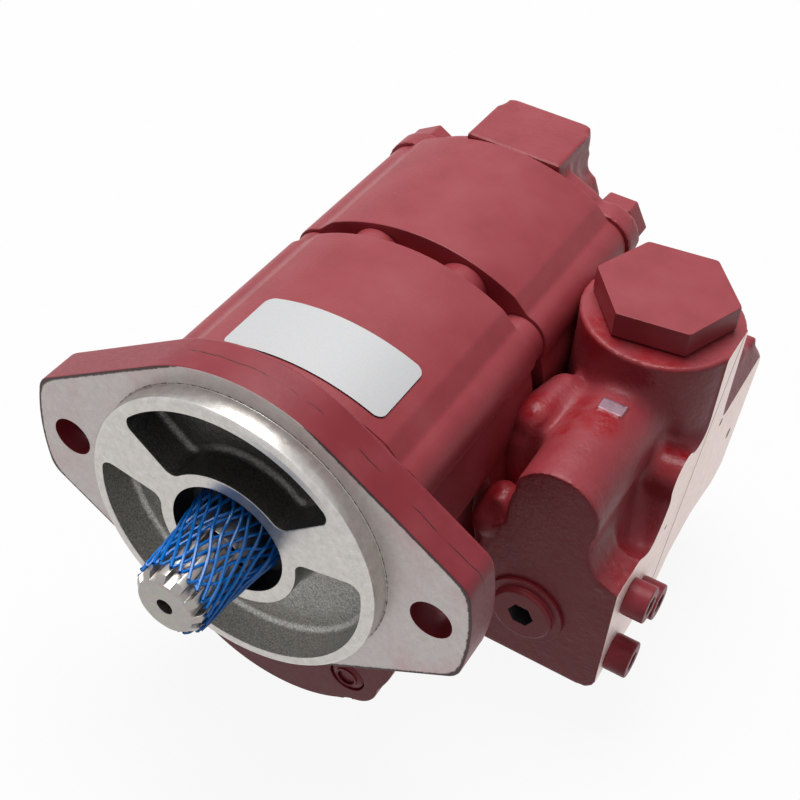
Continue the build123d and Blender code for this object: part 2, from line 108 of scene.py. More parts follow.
def sprayedEnamel(name, grit, lumps, gritDepth, lumpDepth, body="body", parting=None):
    # satin red alkyd enamel sprayed over grey iron: an even colour, a little deeper in clouds,
    # glossier and a purer red where a mesh's own "wet" attribute says that it ran and pooled,
    # and the casting's grain or the spray's orange peel showing through, drawn a little coarser than
    # they are; body names the colour in paintLook, and parting is the place along the pump, in mm, of
    # a mould line's dark scuffed dashes
    look = paintLook
    material, tree, shader = newMaterial(name)
    place = addNode(tree, "ShaderNodeTexCoord").outputs["Object"]
    cloud = addNode(tree, "ShaderNodeTexNoise", {"Vector": place, "Scale": perSize(look["cloudSize"]),
                                                 "Detail": 3})
    fine = addNode(tree, "ShaderNodeTexNoise", {"Vector": place, "Scale": perSize(grit), "Detail": 4,
                                                "Roughness": 0.6})
    broad = addNode(tree, "ShaderNodeTexNoise", {"Vector": place, "Scale": perSize(lumps), "Detail": 2})
    tone = addNode(tree, "ShaderNodeValToRGB", {0: cloud.outputs["Fac"]},
                   [(0.3, look["deep"]), (0.75, look["chalk"]), (0.48, look[body])])
    even = addNode(tree, "ShaderNodeMix", {"Factor": look["tone"], 6: hexColour(look[body]),
                                           7: tone.outputs["Color"]}, data_type="RGBA")
    wet = addNode(tree, "ShaderNodeAttribute", attribute_name="wet").outputs["Fac"]
    pooled = addNode(tree, "ShaderNodeMix", {"Factor": wet, 6: even.outputs[2],
                                             7: hexColour(look["wet"])}, data_type="RGBA")
    top = pooled
    if parting:
        y = addNode(tree, "ShaderNodeSeparateXYZ", {0: place}).outputs[1]
        wander = addNode(tree, "ShaderNodeTexNoise", {"Vector": place, "Scale": perSize(look["scuffWave"]),
                                                      "Detail": 5})
        sway = addNode(tree, "ShaderNodeMath", {0: wander.outputs["Fac"], 1: look["scuffSway"] * mm},
                       operation="MULTIPLY")
        off = addNode(tree, "ShaderNodeMath", {0: y, 1: sway.outputs[0]}, operation="ADD")
        apart = addNode(tree, "ShaderNodeMath", {0: off.outputs[0], 1: parting * mm,
                                                 2: look["scuffWidth"] * mm}, operation="COMPARE")
        dash = addNode(tree, "ShaderNodeMapRange", {"Value": cloud.outputs["Fac"], "From Min": 0.50,
                                                    "From Max": 0.56})
        shown = addNode(tree, "ShaderNodeMath", {0: apart.outputs[0], 1: dash.outputs[0]},
                        operation="MULTIPLY")
        top = addNode(tree, "ShaderNodeMix", {"Factor": shown.outputs[0], 6: pooled.outputs[2],
                                              7: hexColour(look["scuff"])}, data_type="RGBA")
    tree.links.new(top.outputs[2], shader.inputs["Base Color"])
    satin = addNode(tree, "ShaderNodeMapRange", {"Value": fine.outputs["Fac"], "From Min": 0.3,
                                                 "From Max": 0.7,
                                                 "To Min": look["roughness"] - look["smoother"],
                                                 "To Max": look["roughness"] + look["rougher"]})
    gloss = addNode(tree, "ShaderNodeMix", {"Factor": wet, 2: satin.outputs[0], 3: look["wetRoughness"]})
    tree.links.new(gloss.outputs[0], shader.inputs["Roughness"])
    shader.inputs["Specular IOR Level"].default_value = look["specular"]
    low = addNode(tree, "ShaderNodeBump", {"Height": broad.outputs["Fac"], "Strength": 0.6,
                                           "Distance": lumpDepth * mm})
    high = addNode(tree, "ShaderNodeBump", {"Height": fine.outputs["Fac"], "Strength": 0.6,
                                            "Distance": gritDepth * mm, "Normal": low.outputs[0]})
    tree.links.new(high.outputs[0], shader.inputs["Normal"])
    return material


def machinedIron(name, colour, dark, rough, lines):
    # grey iron faced on a lathe or mill: matt silver, with faint tool lines and mottling; the lines are
    # drawn a few times wider apart than a real feed of about 0.2 mm, so that they show
    material, tree, shader = newMaterial(name)
    place = addNode(tree, "ShaderNodeTexCoord").outputs["Object"]
    cloud = addNode(tree, "ShaderNodeTexNoise", {"Vector": place, "Scale": perSize(2.2), "Detail": 6,
                                                 "Roughness": 0.7})
    speck = addNode(tree, "ShaderNodeTexNoise", {"Vector": place, "Scale": perSize(0.45), "Detail": 3})
    tone = addNode(tree, "ShaderNodeValToRGB", {0: cloud.outputs["Fac"]}, [(0.25, dark), (0.7, colour)])
    grain = addNode(tree, "ShaderNodeMix", {"Factor": 0.3, 6: tone.outputs["Color"],
                                            7: speck.outputs["Color"]},
                    data_type="RGBA", blend_type="SOFT_LIGHT")
    tree.links.new(grain.outputs[2], shader.inputs["Base Color"])
    shader.inputs["Metallic"].default_value = 1
    gloss = addNode(tree, "ShaderNodeMapRange", {"Value": cloud.outputs["Fac"], "To Min": rough - 0.06,
                                                 "To Max": rough + 0.08})
    tree.links.new(gloss.outputs[0], shader.inputs["Roughness"])
    spread = addNode(tree, "ShaderNodeSeparateXYZ", {0: place})
    flat = addNode(tree, "ShaderNodeCombineXYZ", {0: spread.outputs[0], 2: spread.outputs[2]})
    out = addNode(tree, "ShaderNodeVectorMath", {0: flat.outputs[0]}, operation="LENGTH")
    rings = addNode(tree, "ShaderNodeMath", {0: out.outputs["Value"], 1: 2 * pi * perSize(lines)},
                    operation="MULTIPLY")
    groove = addNode(tree, "ShaderNodeMath", {0: rings.outputs[0]}, operation="SINE")
    low = addNode(tree, "ShaderNodeBump", {"Height": groove.outputs[0], "Strength": 0.12,
                                           "Distance": 0.02 * mm})
    high = addNode(tree, "ShaderNodeBump", {"Height": speck.outputs["Fac"], "Strength": 0.35,
                                            "Distance": 0.03 * mm, "Normal": low.outputs[0]})
    tree.links.new(high.outputs[0], shader.inputs["Normal"])
    return material


def sandCastIron(name, colour, dark):
    # bare grey iron as it leaves the sand mould and the shot blast: dull grey with fine bright grit,
    # and painted light and shade by height, brighter low on the flange and darker high up; the grit is drawn
    # about twice as coarse as moulding sand
    material, tree, shader = newMaterial(name)
    place = addNode(tree, "ShaderNodeTexCoord").outputs["Object"]
    grit = addNode(tree, "ShaderNodeTexNoise", {"Vector": place, "Scale": perSize(0.5), "Detail": 3,
                                                "Roughness": 0.6})
    lump = addNode(tree, "ShaderNodeTexNoise", {"Vector": place, "Scale": perSize(4), "Detail": 3})
    tone = addNode(tree, "ShaderNodeValToRGB", {0: grit.outputs["Fac"]}, [(0.25, dark), (0.7, colour)])
    z = addNode(tree, "ShaderNodeSeparateXYZ", {0: place}).outputs[2]
    # painted light and shade: the iron is drawn up to 2.6 times brighter low down and darker high up
    lightByHeight = addNode(tree, "ShaderNodeMapRange", {"Value": z, "From Min": -30 * mm, "From Max": 20 * mm,
                                                 "To Min": 2.6, "To Max": 0.42})
    scaled = addNode(tree, "ShaderNodeVectorMath", {0: tone.outputs["Color"], "Scale": lightByHeight.outputs[0]},
                     operation="SCALE")
    tree.links.new(scaled.outputs[0], shader.inputs["Base Color"])
    shader.inputs["Metallic"].default_value = 0.7
    shader.inputs["Roughness"].default_value = 0.42
    low = addNode(tree, "ShaderNodeBump", {"Height": lump.outputs["Fac"], "Strength": 0.5,
                                           "Distance": 0.5 * mm})
    high = addNode(tree, "ShaderNodeBump", {"Height": grit.outputs["Fac"], "Strength": 0.7,
                                            "Distance": 0.16 * mm, "Normal": low.outputs[0]})
    tree.links.new(high.outputs[0], shader.inputs["Normal"])
    return material


def turnedSteel(name, colour, rough):
    # turned or hobbed steel: a dull shine, faintly clouded by tool marks, which are drawn as coarse as
    # the render can show
    material, tree, shader = newMaterial(name)
    place = addNode(tree, "ShaderNodeTexCoord").outputs["Object"]
    cloud = addNode(tree, "ShaderNodeTexNoise", {"Vector": place, "Scale": perSize(1.2), "Detail": 4})
    tone = addNode(tree, "ShaderNodeMix", {"Factor": 0.35, 6: hexColour(colour), 7: cloud.outputs["Color"]},
                   data_type="RGBA", blend_type="SOFT_LIGHT")
    tree.links.new(tone.outputs[2], shader.inputs["Base Color"])
    shader.inputs["Metallic"].default_value = 1
    shader.inputs["Roughness"].default_value = rough
    bump = addNode(tree, "ShaderNodeBump", {"Height": cloud.outputs["Fac"], "Strength": 0.25,
                                            "Distance": 0.05 * mm})
    tree.links.new(bump.outputs[0], shader.inputs["Normal"])
    return material


def plainPlastic(name, colour, rough):
    # moulded nitrile, vinyl or polythene: an even colour over a faint grain, which is drawn coarser
    # than the real one, so that it shows
    material, tree, shader = newMaterial(name)
    place = addNode(tree, "ShaderNodeTexCoord").outputs["Object"]
    grain = addNode(tree, "ShaderNodeTexNoise", {"Vector": place, "Scale": perSize(0.6), "Detail": 2})
    tone = addNode(tree, "ShaderNodeMix", {"Factor": 0.3, 6: hexColour(colour), 7: grain.outputs["Color"]},
                   data_type="RGBA", blend_type="SOFT_LIGHT")
    tree.links.new(tone.outputs[2], shader.inputs["Base Color"])
    shader.inputs["Roughness"].default_value = rough
    bump = addNode(tree, "ShaderNodeBump", {"Height": grain.outputs["Fac"], "Strength": 0.2,
                                            "Distance": 0.05 * mm})
    tree.links.new(bump.outputs[0], shader.inputs["Normal"])
    return material


flangeEdge = {
    "round": 46.4, "ear": 63.7, "slope": radians(32.3), "pilot": 41.275, "corner": 5.0,
    "paintRagged": 1.3, "pilotFootShadeRagged": 1.1, "pilotFootShadeOut": 0.2, "hazeSize": 14,
    "haze": "#B07F84", "pilotFootShade": "#3F302E", "paint": "#3F1619",
}


def flangeFaceIron(name):
    # faced grey iron, masked while the rest was sprayed: a ragged line of paint at its edge,
    # a dark ring of painted shade at the pilot's foot and a pink haze of overspray towards the ears
    material = machinedIron(name, "#BDB6B3", "#A9A29F", 0.44, 0.9)
    tree = material.node_tree
    shader = tree.nodes["Principled BSDF"]
    bare = shader.inputs["Base Color"].links[0].from_socket
    place = addNode(tree, "ShaderNodeTexCoord").outputs["Object"]
    big = addNode(tree, "ShaderNodeVectorMath", {0: place, 1: (1000, 1000, 1000)}, operation="MULTIPLY")
    axes = addNode(tree, "ShaderNodeSeparateXYZ", {0: big.outputs[0]})
    flat = addNode(tree, "ShaderNodeVectorMath", {0: big.outputs[0], 1: (1, 0, 1)}, operation="MULTIPLY")
    far = addNode(tree, "ShaderNodeVectorMath", {0: flat.outputs[0]}, operation="LENGTH")
    ragged = addNode(tree, "ShaderNodeTexNoise", {"Vector": place, "Scale": perSize(1.2), "Detail": 5,
                                                  "Roughness": 0.75})
    e = flangeEdge
    haze = addNode(tree, "ShaderNodeTexNoise", {"Vector": place, "Scale": perSize(e["hazeSize"]),
                                                "Detail": 4})
    part = {"x": axes.outputs[0], "z": axes.outputs[2], "far": far.outputs["Value"],
            "ragged": ragged.outputs["Fac"]}
    # each row names a measure in mm, the operation that makes it and what that works on
    steps = [
        ("across", "ABSOLUTE", "x"), ("up", "ABSOLUTE", "z"),
        ("alongSlope", "MULTIPLY", "across", sin(e["slope"])),
        ("sum", "MULTIPLY_ADD", "up", cos(e["slope"]), "alongSlope"),
        ("fromSlope", "SUBTRACT", "sum", e["round"]), ("fromEar", "SUBTRACT", "far", e["ear"]),
        ("fromRound", "SUBTRACT", "far", e["round"]),
        ("earPart", "SMOOTH_MAX", "fromSlope", "fromEar", e["corner"]),
        ("edge", "MINIMUM", "earPart", "fromRound"),
        ("shifted", "MULTIPLY_ADD", "ragged", e["paintRagged"], "edge"),
        ("fromPilot", "SUBTRACT", "far", e["pilot"] + e["pilotFootShadeOut"]), ("nearPilot", "ABSOLUTE", "fromPilot"),
        ("foot", "MULTIPLY_ADD", "ragged", e["pilotFootShadeRagged"], "nearPilot"),
    ]
    for made, operation, *values in steps:
        links = {i: part.get(value, value) for i, value in enumerate(values)}
        part[made] = addNode(tree, "ShaderNodeMath", links, operation=operation).outputs[0]
    painted = addNode(tree, "ShaderNodeMapRange", {"Value": part["shifted"], "From Min": -0.35,
                                                   "From Max": 0.0})
    # painted shade: a dark ring in the inner corner at the pilot's foot
    pilotFootShade = addNode(tree, "ShaderNodeMapRange", {"Value": part["foot"], "From Min": 0.78, "From Max": 0.5})
    near = addNode(tree, "ShaderNodeMapRange", {"Value": part["edge"], "From Min": -18, "From Max": -1,
                                                "To Min": 0.02, "To Max": 0.42})
    misty = addNode(tree, "ShaderNodeMapRange", {"Value": haze.outputs["Fac"], "From Min": 0.45,
                                                 "From Max": 0.7})
    mist = addNode(tree, "ShaderNodeMath", {0: near.outputs[0], 1: misty.outputs[0]}, operation="MULTIPLY")
    layer = bare
    for amount, colour in ((mist, e["haze"]), (pilotFootShade, e["pilotFootShade"]), (painted, e["paint"])):
        mixed = addNode(tree, "ShaderNodeMix", {"Factor": amount.outputs[0], 6: layer,
                                                7: hexColour(colour)}, data_type="RGBA")
        layer = mixed.outputs[2]
    tree.links.new(layer, shader.inputs["Base Color"])
    metal = addNode(tree, "ShaderNodeMath", {0: 1.0, 1: painted.outputs[0]}, operation="SUBTRACT")
    tree.links.new(metal.outputs[0], shader.inputs["Metallic"])
    return material


sideMarks = {
    "jointAt": 104.9, "jointLean": 0.4, "joint": "#8A6E6A", "holeShade": "#2A1B1B",
    "holes": (((83, 116.5, -14.0), 1.5), ((83, 133.5, -32.5), 2.0), ((83, 82.0, -26.6), 0.9)),
}


def milledSideIron(name):
    # milled grey iron under a thin dusting of overspray; the castings' joint shows as a brown line
    # that leans forward as it runs down, and three blow holes in the iron are painted as dark spots of shade
    material = machinedIron(name, "#EFDDD7", "#DCC8C2", 0.5, 1.4)
    tree = material.node_tree
    shader = tree.nodes["Principled BSDF"]
    bare = shader.inputs["Base Color"].links[0].from_socket
    place = addNode(tree, "ShaderNodeTexCoord").outputs["Object"]
    big = addNode(tree, "ShaderNodeVectorMath", {0: place, 1: (1000, 1000, 1000)}, operation="MULTIPLY")
    axes = addNode(tree, "ShaderNodeSeparateXYZ", {0: big.outputs[0]})
    m = sideMarks
    lean = addNode(tree, "ShaderNodeMath", {0: axes.outputs[2], 1: -m["jointLean"], 2: -m["jointAt"]},
                   operation="MULTIPLY_ADD")
    off = addNode(tree, "ShaderNodeMath", {0: axes.outputs[1], 1: lean.outputs[0]}, operation="ADD")
    line = addNode(tree, "ShaderNodeMath", {0: off.outputs[0]}, operation="ABSOLUTE")
    dark = addNode(tree, "ShaderNodeMapRange", {"Value": line.outputs[0], "From Min": 0.75,
                                                "From Max": 0.35})
    layer = addNode(tree, "ShaderNodeMix", {"Factor": dark.outputs[0], 6: bare, 7: hexColour(m["joint"])},
                    data_type="RGBA")
    # the blow holes are not modelled: each is a round dark spot of painted shade
    for spot, size in m["holes"]:
        far = addNode(tree, "ShaderNodeVectorMath", {0: big.outputs[0], 1: spot}, operation="DISTANCE")
        holeShade = addNode(tree, "ShaderNodeMapRange", {"Value": far.outputs["Value"], "From Min": size,
                                                    "From Max": size * 0.7})
        layer = addNode(tree, "ShaderNodeMix", {"Factor": holeShade.outputs[0], 6: layer.outputs[2],
                                                7: hexColour(m["holeShade"])}, data_type="RGBA")
    tree.links.new(layer.outputs[2], shader.inputs["Base Color"])
    shader.inputs["Metallic"].default_value = 0.85
    return material


smoothEnamel = sprayedEnamel("satinEnamelOverMachinedIron", 0.9, 9, 0.08, 0.10)
castEnamel = sprayedEnamel("satinEnamelOverSandCastIron", 1.3, 4.5, 0.26, 0.35)
# the flange and the screws take the darker shaded red, a copy of the enamel painted in shade
scuffedShadedEnamel = sprayedEnamel("scuffedEnamelPaintedShadedOnTheFlange", 1.1, 9, 0.05, 0.10, body="shaded", parting=7.6)
shadedScrewEnamel = sprayedEnamel("enamelPaintedShadedOnScrews", 1.1, 9, 0.05, 0.10, body="shaded")
flangeFace = flangeFaceIron("facedGreyIron")
milledSide = milledSideIron("milledGreyIron")
scuffedPad = machinedIron("barePadOnTheCasting", "#8F7680", "#7A626C", 0.5, 0.9)
boredIron = machinedIron("boredGreyIron", "#55565A", "#38393D", 0.4, 0.5)
turnedIron = machinedIron("turnedGreyIron", "#CFCBC5", "#B2AEA9", 0.30, 0.35)
castIron = sandCastIron("sandCastGreyIron", "#93918C", "#4E4C49")
shaftSteel = turnedSteel("turnedAlloySteel", "#A39E99", 0.34)
phosphated = turnedSteel("phosphatedSpringSteel", "#4A4A4C", 0.5)
bronzeBush = turnedSteel("sinteredBronze", "#A9834F", 0.4)
nitrile = plainPlastic("nitrileRubber", "#1B1B1D", 0.55)
# paint deep in the port plug's socket, where next to no light reaches it
shadedSocket = plainPlastic("enamelInSocketShade", "#120507", 0.7)
netPlastic = plainPlastic("extrudedPolythene", "#0A84E4", 0.22)
labelVinyl = plainPlastic("labelVinyl", "#D9DADA", 0.45)
# the label's side faces are drawn near black
labelDarkSides = plainPlastic("labelSidesNearBlack", "#26262A", 0.5)
print("materials made")


# Shared ways of making a piece

flatAngle = radians(0.5)
sharpAngle = radians(35)
hollowAngle = radians(14)


def meshOf(node):
    # a CAD node's mesh in mm, its loose triangles merged
    bm = bmesh.new()
    bm.from_mesh(nodes[node].data)
    bm.transform(Matrix.Scale(1000, 4))
    bmesh.ops.remove_doubles(bm, verts=bm.verts, dist=0.002)
    return bm


def finishPiece(name, bm, materials, body="housing", stands=None, flatten=True):
    # mm to metres, smooth shading with sharp edges over 35 degrees; stands names the CAD nodes that
    # the piece is shown in place of, and flatten keeps its flat faces flat beside rounded edges
    for edge in bm.edges:
        edge.smooth = len(edge.link_faces) == 2 and edge.calc_face_angle(0) < sharpAngle
    for face in bm.faces:
        face.smooth = True
    bm.transform(Matrix.Scale(mm, 4))
    mesh = bpy.data.meshes.new(name)
    bm.to_mesh(mesh)
    bm.free()
    piece = bpy.data.objects.new(name, mesh)
    bpy.context.scene.collection.objects.link(piece)
    for material in materials:
        mesh.materials.append(material)
    if flatten:
        weighted = piece.modifiers.new("Weighted", "WEIGHTED_NORMAL")
        weighted.keep_sharp = True
    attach(piece, body)
    if stands:
        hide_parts(*([stands] if isinstance(stands, str) else stands))
    return piece


def softenEdges(bm, radius, segments=2, fromAngle=28, keep=None):
    # a rounded edge in place of each sharp one that keep picks
    bmesh.ops.dissolve_limit(bm, angle_limit=flatAngle, verts=bm.verts, edges=bm.edges)
    edges = [e for e in bm.edges if len(e.link_faces) == 2 and e.calc_face_angle(0) > radians(fromAngle)
             and (keep is None or keep(e))]
    bmesh.ops.bevel(bm, geom=edges, offset=radius, offset_type="OFFSET", segments=segments, profile=0.5,
                    affect="EDGES", material=-1, clamp_overlap=False, loop_slide=True)


def remeshed(bm, voxel):
    # one closed shell of even small faces; shapes that overlap grow together
    mesh = bpy.data.meshes.new("shell")
    bm.to_mesh(mesh)
    bm.free()
    shell = bpy.data.objects.new("shell", mesh)
    bpy.context.scene.collection.objects.link(shell)
    remesh = shell.modifiers.new("Remesh", "REMESH")
    remesh.mode = "VOXEL"
    remesh.voxel_size = voxel
    made = bpy.data.meshes.new_from_object(shell.evaluated_get(bpy.context.evaluated_depsgraph_get()))
    bpy.data.objects.remove(shell)
    fresh = bmesh.new()
    fresh.from_mesh(made)
    bpy.data.meshes.remove(made)
    return fresh


def smoothAll(bm, verts, rounds):
    for step in range(rounds):
        bmesh.ops.smooth_vert(bm, verts=verts, factor=0.5, use_axis_x=True, use_axis_y=True,
                              use_axis_z=True)


def fillHollows(bm, rings, rounds, free):
    # inner corners of a casting are wide fillets: smooth a band of faces round each one
    inner = [e for e in bm.edges if len(e.link_faces) == 2 and e.calc_face_angle_signed(0) < -hollowAngle]
    band = {v for e in inner for v in e.verts if free(v.co)}
    edge = set(band)
    for ring in range(rings):
        edge = {e.other_vert(v) for v in edge for e in v.link_edges} - band
        edge = {v for v in edge if free(v.co)}
        band |= edge
    smoothAll(bm, list(band), rounds)


def addCapsule(bm, start, end, radius):
    # a lump of metal with round ends
    start, end = Vector(start), Vector(end)
    along = end - start
    around = 28
    for place in (start, end):
        bmesh.ops.create_uvsphere(bm, u_segments=around, v_segments=18, radius=radius,
                                  matrix=Matrix.Translation(place))
    turn = along.to_track_quat("Z", "Y").to_matrix().to_4x4()
    bmesh.ops.create_cone(bm, cap_ends=True, segments=around, radius1=radius, radius2=radius,
                          depth=along.length, matrix=Matrix.Translation((start + end) / 2) @ turn)


def workSurface(bm, centre, reach, push, lumps, size):
    # press in or raise the metal round a place, and rough it up with lumps of a size
    bm.normal_update()
    centre, push = Vector(centre), Vector(push)
    for v in bm.verts:
        away = (v.co - centre).length / reach
        if away < 1:
            share = (1 - away * away) ** 2
            v.co += push * share
            if lumps:
                v.co += v.normal * noise.noise(v.co / size) * lumps * share


# Body sections

bodySections = {
    "frontGearSection": ("front_gear_housing", 0.5),
    "rearGearSection": ("rear_gear_housing", 0.5),
    "bearingCarrierPlate": ("bearing_carrier", 0.6),
}
padSlope = {"from": 42.9, "above": -6.5, "drop": 9.0}
for name, (node, edge) in bodySections.items():
    bm = meshOf(node)
    # the valve's pad has a cast slope above it, hidden by the valve but for its front end
    for vert in bm.verts:
        if vert.co.x > padSlope["from"] and vert.co.z > padSlope["above"]:
            vert.co.z -= padSlope["drop"]
    softenEdges(bm, edge)
    finishPiece(name, bm, [smoothEnamel], stands=node)

# the rear cover is left as cast, with wide fillets behind its joint face
rearCasting = {"voxel": 0.65, "filletsFrom": 135.2, "rings": 4, "rounds": 25, "evenOut": 2}
bm = remeshed(meshOf("rear_cover"), rearCasting["voxel"])
fillHollows(bm, rearCasting["rings"], rearCasting["rounds"], lambda p: p.y > rearCasting["filletsFrom"])
smoothAll(bm, bm.verts, rearCasting["evenOut"])
finishPiece("rearCoverCasting", bm, [castEnamel], stands="rear_cover", flatten=False)
print("body sections made")


# Front cover

coverCuts = {
    "pocketInner": 19.8, "pocketOuter": 38.0, "pocketFront": -6.3, "pocketBack": 3.8, "pocketFloor": 3.65,
    "bore": 17.2, "earFrom": 58.0, "earDepth": 5, "flangeBack": 12.5, "flangeFrom": 45, "flangeLow": -20,
}
coverEdges = {"ear": 5.0, "pocketFloor": 2.0, "flangeBack": 1.4, "rest": 0.4}
coverMaterials = [scuffedShadedEnamel, boredIron, turnedIron, castIron, flangeFace]


def frontCoverFace(face):
    # which material a face of the front cover takes
    cuts = coverCuts
    c, n = face.calc_center_median(), face.normal
    reach = [hypot(v.co.x, v.co.z) for v in face.verts]
    betweenWalls = min(reach) > cuts["pocketInner"] and max(reach) < cuts["pocketOuter"]
    if betweenWalls and cuts["pocketFront"] < c.y < cuts["pocketBack"]:
        return coverMaterials.index(castIron)
    if c.y < -0.05 and max(reach) > cuts["bore"]:
        return coverMaterials.index(turnedIron)
    if max(reach) < cuts["bore"]:
        return coverMaterials.index(boredIron)
    if abs(c.y) < 0.05 and n.y < -0.9:
        return coverMaterials.index(flangeFace)
    return coverMaterials.index(scuffedShadedEnamel)


def pocketFloorEdge(edge):
    reach = [hypot(v.co.x, v.co.z) for v in edge.verts]
    onFloor = all(abs(v.co.y - coverCuts["pocketFloor"]) < 0.02 for v in edge.verts)
    return onFloor and min(reach) > coverCuts["pocketInner"] and max(reach) < coverCuts["pocketOuter"]


def earCorner(edge):
    start, end = (v.co for v in edge.verts)
    level = hypot(start.x - end.x, start.z - end.z) < 0.05
    deep = abs(start.y - end.y) > coverCuts["earDepth"]
    return level and deep and hypot(start.x, start.z) > coverCuts["earFrom"]


def flangeBackEdge(edge):
    cuts = coverCuts
    onBack = all(abs(v.co.y - cuts["flangeBack"]) < 0.02 for v in edge.verts)
    return onBack and all(hypot(v.co.x, v.co.z) > cuts["flangeFrom"] and v.co.z > cuts["flangeLow"]
                          for v in edge.verts)


bm = meshOf("front_cover")
bmesh.ops.dissolve_limit(bm, angle_limit=flatAngle, verts=bm.verts, edges=bm.edges)
for face in bm.faces:
    face.material_index = frontCoverFace(face)
softenEdges(bm, coverEdges["ear"], segments=7, keep=earCorner, fromAngle=20)
softenEdges(bm, coverEdges["pocketFloor"], segments=5, keep=pocketFloorEdge)
softenEdges(bm, coverEdges["flangeBack"], segments=4, keep=flangeBackEdge)
softenEdges(bm, coverEdges["rest"], fromAngle=40)
finishPiece("frontCoverCasting", bm, coverMaterials, stands="front_cover")
print("front cover made")


# Valve block: one casting with a round tunnel over a foot, and a tall boss for the hex plug

valveShape = {
    "voxel": 0.62, "side": 83.0, "front": 47.0, "joint": 85.0,
    "overlap": 0.4, "milledAway": 0.8,   # the halves' overlap, and the stock left on the right side
    "nose": (50.7, 58.8, -9.5), "noseDrop": -4.0,
    # a knob and a neck to the left of the tunnel, the nose's tip, and a rib to the milled side
    "lumps": [((44.2, 71.6, 1.6), (47.0, 84.0, 1.6), 6.8), ((47.0, 76.0, -1.6), (55.0, 84.0, 0.0), 8.0),
              ((43.6, 69.5, -2.0), (44.0, 66.0, -20.0), 5.6),
              ((45.4, 54.5, -13.5), (43.8, 51.6, -18.5), 5.4),
              ((70.0, 85.0, -9.0), (84.5, 85.0, -8.8), 7.0)],
    "bossCentre": (61.4, 108.3), "bossTop": 21.5, "bossRadius": 22.6, "bossRim": 6, "bossTaper": 0.4,
    "filletRings": 6, "filletRounds": 60, "plainFoot": (42, -6),
    # centre, reach, push, roughness and its size: the hollow before the rib, the shelf and the knob
    "worked": [((78.0, 70.0, -19.0), 11, (0, 0, -7.0), 0, 2), ((79, 52, -20.5), 8, (0, 0, 0.3), 0.9, 1.6),
               ((44.5, 70, 6), 5, (0, 0, 0), 0.5, 1.2)],
    "evenOut": 2,
    # lowest and highest corner of the bare pad on the tunnel, and its level
    "pad": ((58.5, 75.0), (66.0, 79.9), 11.7), "padFrom": 8, "padEdge": 0.3,
    # centre, reach and strength of each place where the paint ran and stayed glossy
    "wetSpots": [((61.8, 71, 11.5), 7, 0.95), ((54, 66, 8), 4, 0.7), ((54.5, 72, 7.5), 4, 0.7),
                 ((55, 78, 8), 4, 0.6), ((45, 56, -12), 9, 0.7), ((80, 84, -5), 7, 0.85),
                 ((77, 58, -20), 12, 0.7), ((44.5, 71, 7), 7, 0.75), ((68, 90, 21.5), 9, 0.6),
                 ((50, 92, 21.5), 9, 0.6)],
}


def markWet(bm, spots):
    # the paint's "wet" attribute round the given places, 0 to 1
    layer = bm.verts.layers.float.get("wet") or bm.verts.layers.float.new("wet")
    for v in bm.verts:
        v[layer] = 0
        for centre, reach, most in spots:
            away = (v.co - Vector(centre)).length / reach
            if away < 1:
                ragged = 0.75 + 0.5 * noise.noise(v.co * 0.45)
                v[layer] = max(v[layer], min(1, most * ragged * min(1, 2.2 * (1 - away))))


def valveCasting():
    # the two CAD halves and the lumps grown into one casting, in mm
    v = valveShape
    bm = meshOf("valve_body")
    noseRight, noseRear, noseTop = v["nose"]
    for vert in bm.verts:
        if vert.co.x < noseRight and vert.co.y < noseRear and vert.co.z > noseTop:
            vert.co.z += v["noseDrop"]
    rear = meshOf("valve_rear_body")
    for vert in rear.verts:
        if vert.co.y < v["joint"] + 0.01:
            vert.co.y -= v["overlap"]
    rearMesh = bpy.data.meshes.new("rear")
    rear.to_mesh(rearMesh)
    rear.free()
    bm.from_mesh(rearMesh)
    bpy.data.meshes.remove(rearMesh)
    for vert in bm.verts:
        if vert.co.x > v["side"] - 0.01:
            vert.co.x += v["milledAway"]
    centre, top, radius, rim = v["bossCentre"], v["bossTop"], v["bossRadius"], v["bossRim"]
    bmesh.ops.create_cone(bm, cap_ends=True, segments=96, radius1=radius - v["bossTaper"], radius2=radius,
                          depth=rim, matrix=Matrix.Translation((*centre, top - rim / 2)))
    for lump in v["lumps"]:
        addCapsule(bm, *lump)
    bm = remeshed(bm, v["voxel"])
    footRight, footTop = v["plainFoot"]

    def castFillet(p):
        # the front, the boss's top and the seat on the pump are machined, so they keep their edges
        onFoot = p.x < footRight and p.z < footTop
        return p.y > v["front"] + 0.8 and not onFoot and p.z < top - 1.5

    fillHollows(bm, v["filletRings"], v["filletRounds"], castFillet)
    for spot in v["worked"]:
        workSurface(bm, *spot)
    smoothAll(bm, bm.verts, v["evenOut"])
    low, high, level = v["pad"]
    for vert in bm.verts:
        p = vert.co
        if low[0] < p.x < high[0] and low[1] < p.y < high[1] and p.z > v["padFrom"]:
            p.z = level
        elif abs(p.z - top) < 0.8 and hypot(p.x - centre[0], p.y - centre[1]) < radius - 0.6:
            p.z = top
    # the right side is milled flat after casting
    cut = bmesh.ops.bisect_plane(bm, geom=bm.verts[:] + bm.edges[:] + bm.faces[:],
                                 plane_co=(v["side"], 0, 0), plane_no=(1, 0, 0), clear_outer=True)
    rim = [e for e in cut["geom_cut"] if isinstance(e, bmesh.types.BMEdge)]
    bmesh.ops.edgenet_fill(bm, edges=rim)
    left, right = low[0] + v["padEdge"], high[0] - v["padEdge"]
    front, back = low[1] + v["padEdge"], high[1] - v["padEdge"]
    for face in bm.faces:
        c = face.calc_center_median()
        onPad = left < c.x < right and front < c.y < back and abs(c.z - level) < 0.05
        face.material_index = 1 if c.x > v["side"] - 0.01 else 2 if onPad else 0
    bmesh.ops.recalc_face_normals(bm, faces=bm.faces)
    markWet(bm, v["wetSpots"])
    return bm


finishPiece("valveCasting", valveCasting(), [castEnamel, milledSide, scuffedPad],
            stands=("valve_body", "valve_rear_body"), flatten=False)
print("valve block made")


# Plugs, bolts and screws

